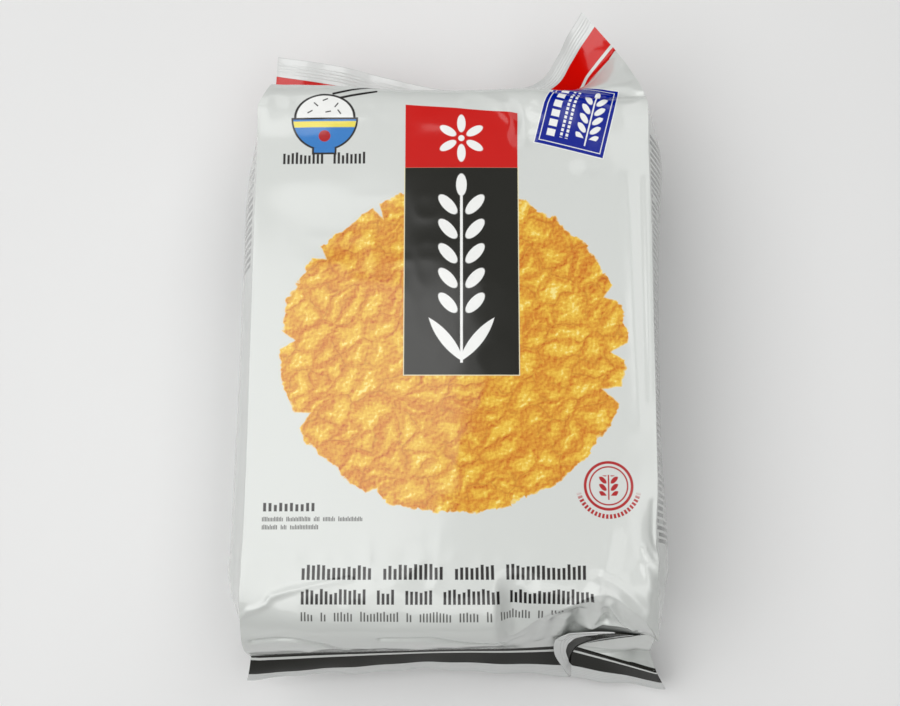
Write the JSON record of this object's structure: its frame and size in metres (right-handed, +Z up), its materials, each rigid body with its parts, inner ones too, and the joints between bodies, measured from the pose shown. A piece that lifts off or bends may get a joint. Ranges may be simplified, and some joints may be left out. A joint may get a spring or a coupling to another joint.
{
  "type": "rice cracker bag",
  "caption": "Sealed, gusseted foil bag of rice crackers lying on its back, with a flat sealed fin at each end, a turned-up corner at the top and a crumpled, folded corner at the bottom.",
  "frame": {"origin": "centre of the bag's outer box, at the bottom face that it rests on", "axes": "+Z up, out of the printed front panel; +Y along the bag towards the top of the print; +X to the right of the print"},
  "size_m": [0.1866, 0.2932, 0.0865],
  "materials": {
    "film": "glossy printed metallised film, light silver grey with a golden cracker disc, a red and black banner, a blue stamp and red and black bands at the sealed fins"
  },
  "bodies": {
    "root": {"cracker_bag": "film"}
  },
  "joints": []
}
